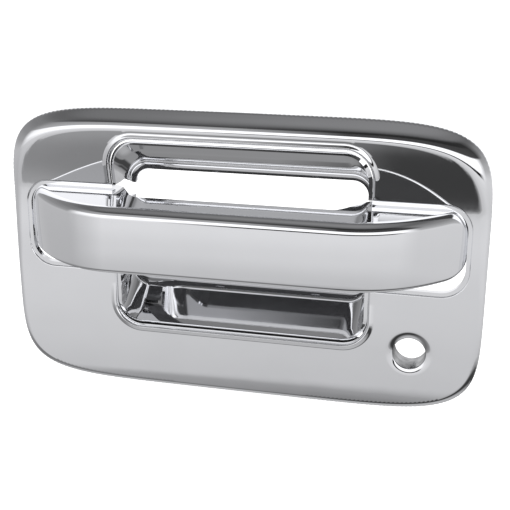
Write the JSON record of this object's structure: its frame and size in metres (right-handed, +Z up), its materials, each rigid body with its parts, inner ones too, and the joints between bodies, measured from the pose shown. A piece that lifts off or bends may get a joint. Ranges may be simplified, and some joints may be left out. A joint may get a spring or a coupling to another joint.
{
  "type": "car door handle",
  "caption": "Exterior pull handle for a vehicle door: bright bezel with an open hand pocket and lock hole, bar lever on a shaft, and a bellcrank that pushes the latch rod.",
  "frame": {"origin": "middle of the bezel's outline, in the plane where its gasket seats on the door's outer skin", "axes": "+X to the right seen from outside the door, +Y into the door, +Z up"},
  "size_m": [0.24, 0.0915, 0.146],
  "materials": {
    "chrome_bezel": "mirror polished plating",
    "chrome_lever": "mirror polished plating",
    "seal_rubber": "matt",
    "insert_brass": "turned",
    "black_nylon": "fine moulded grain",
    "zinc_screw": "zinc plated",
    "ground_steel": "ground",
    "spring_steel": "phosphated",
    "cast_zinc": "die cast",
    "bronze": "sintered",
    "weight_iron": "sand cast",
    "natural_nylon": "moulded",
    "pressed_steel": "zinc plated pressing"
  },
  "bodies": {
    "housing": {"bezel": "chrome_bezel", "gasket": "seal_rubber", "door_inserts": "insert_brass", "pivot_bracket": "black_nylon", "bracket_screws": "zinc_screw", "pivot_shaft": "ground_steel", "shaft_clips": "spring_steel", "bump_stops": "seal_rubber", "return_spring": "spring_steel", "bellcrank_pin": "ground_steel", "bellcrank_pin_clip": "spring_steel"},
    "lever": {"lever_cover": "chrome_lever", "grip_back": "black_nylon", "left_arm": "cast_zinc", "right_arm": "cast_zinc", "arm_screws": "zinc_screw", "cover_screws": "zinc_screw", "left_bush": "bronze", "right_bush": "bronze", "counterweight": "weight_iron", "counterweight_rivets": "ground_steel", "drive_pin": "ground_steel", "drive_sleeve": "natural_nylon"},
    "bellcrank": {"bellcrank": "pressed_steel", "bellcrank_bush": "bronze"},
    "rod_clip": {"rod_clip": "natural_nylon", "rod_clip_washer": "spring_steel"}
  },
  "joints": [
    {"name": "lever_pull", "type": "hinge", "parent": "housing", "child": "lever", "pos_m": [0, 0.024, -0.034], "axis": [1, 0, 0], "range_deg": [0, 22], "stiffness_Nm_per_rad": 0.9, "springref_deg": -34.38, "deforming": ["return_spring"]},
    {"name": "bellcrank_turn", "type": "hinge", "parent": "housing", "child": "bellcrank", "pos_m": [0, 0.024, 0.006], "axis": [1, 0, 0], "range_deg": [-22, 0]},
    {"name": "rod_clip_swivel", "type": "hinge", "parent": "bellcrank", "child": "rod_clip", "pos_m": [0, 0.046, 0.006], "axis": [1, 0, 0], "range_deg": [0, 22]}
  ],
  "couplings": [
    {"joint": "bellcrank_turn", "follows": "lever_pull", "ratio": -0.965},
    {"joint": "rod_clip_swivel", "follows": "lever_pull", "ratio": 0.965}
  ]
}
